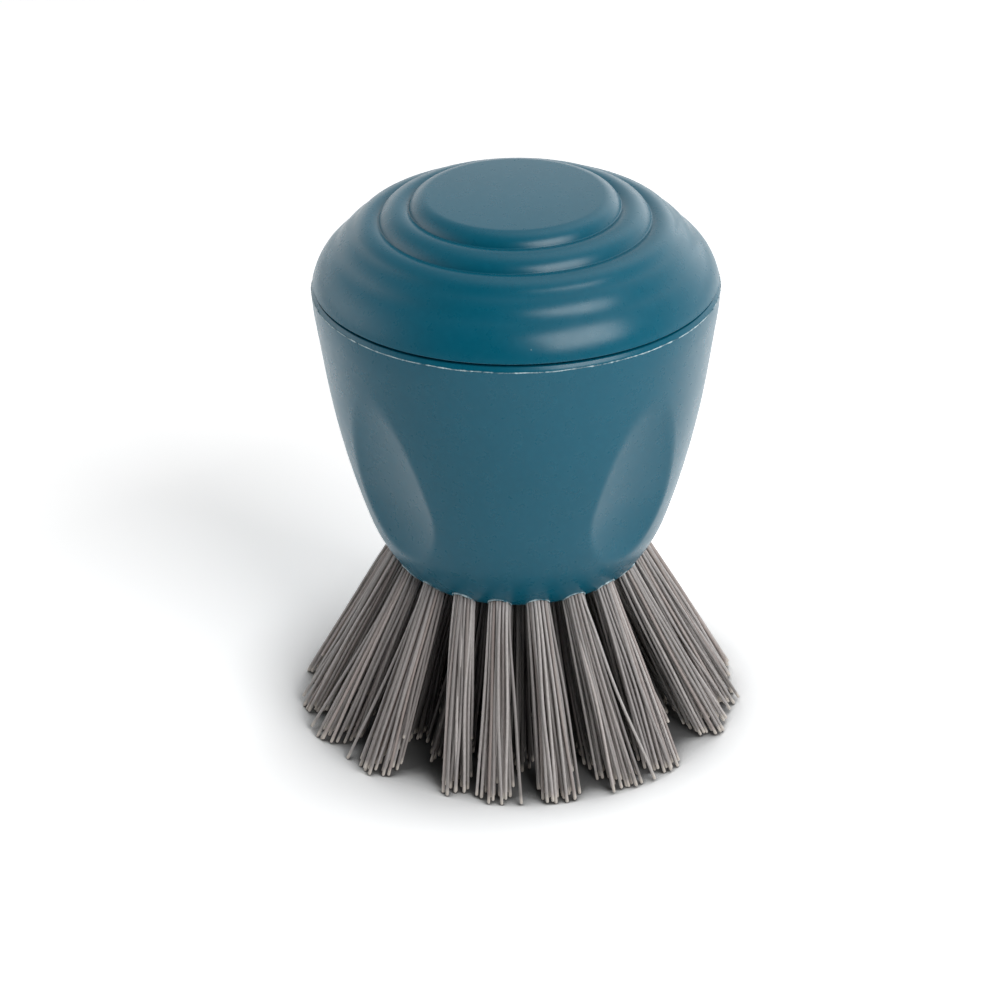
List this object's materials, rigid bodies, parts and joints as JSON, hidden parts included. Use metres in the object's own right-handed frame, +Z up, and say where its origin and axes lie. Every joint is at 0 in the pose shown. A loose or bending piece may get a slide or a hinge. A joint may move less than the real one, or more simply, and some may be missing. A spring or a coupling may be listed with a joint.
{
  "type": "palm brush",
  "caption": "Round palm brush: a tapered hollow handle with finger scoops and a rippled press-in cap, and splayed bristle tufts stapled into its convex bottom.",
  "frame": {"origin": "on the surface that the brush stands on, under the centre of its bristle tips", "axes": "+Z up through the cap, front towards -Y"},
  "size_m": [0.0764, 0.0764, 0.0978],
  "materials": {
    "handle": "satin moulded plastic, deep teal",
    "bristle": "warm grey nylon, satin",
    "staple": "plain steel"
  },
  "bodies": {
    "root": {"handle_body": "handle", "cap": "handle", "tuft_outer_01": "bristle", "tuft_outer_02": "bristle", "tuft_outer_03": "bristle", "tuft_outer_04": "bristle", "tuft_outer_05": "bristle", "tuft_outer_06": "bristle", "tuft_outer_07": "bristle", "tuft_outer_08": "bristle", "tuft_outer_09": "bristle", "tuft_outer_10": "bristle", "tuft_outer_11": "bristle", "tuft_outer_12": "bristle", "tuft_outer_13": "bristle", "tuft_outer_14": "bristle", "tuft_outer_15": "bristle", "tuft_outer_16": "bristle", "tuft_outer_17": "bristle", "tuft_outer_18": "bristle", "tuft_outer_19": "bristle", "tuft_outer_20": "bristle", "tuft_middle_01": "bristle", "tuft_middle_02": "bristle", "tuft_middle_03": "bristle", "tuft_middle_04": "bristle", "tuft_middle_05": "bristle", "tuft_middle_06": "bristle", "tuft_middle_07": "bristle", "tuft_middle_08": "bristle", "tuft_middle_09": "bristle", "tuft_middle_10": "bristle", "tuft_middle_11": "bristle", "tuft_middle_12": "bristle", "tuft_middle_13": "bristle", "tuft_middle_14": "bristle", "tuft_inner_01": "bristle", "tuft_inner_02": "bristle", "tuft_inner_03": "bristle", "tuft_inner_04": "bristle", "tuft_inner_05": "bristle", "tuft_inner_06": "bristle", "tuft_inner_07": "bristle", "tuft_inner_08": "bristle", "tuft_centre": "bristle", "staples_outer": "staple", "staples_middle": "staple", "staples_inner": "staple", "staple_centre": "staple"}
  },
  "joints": []
}
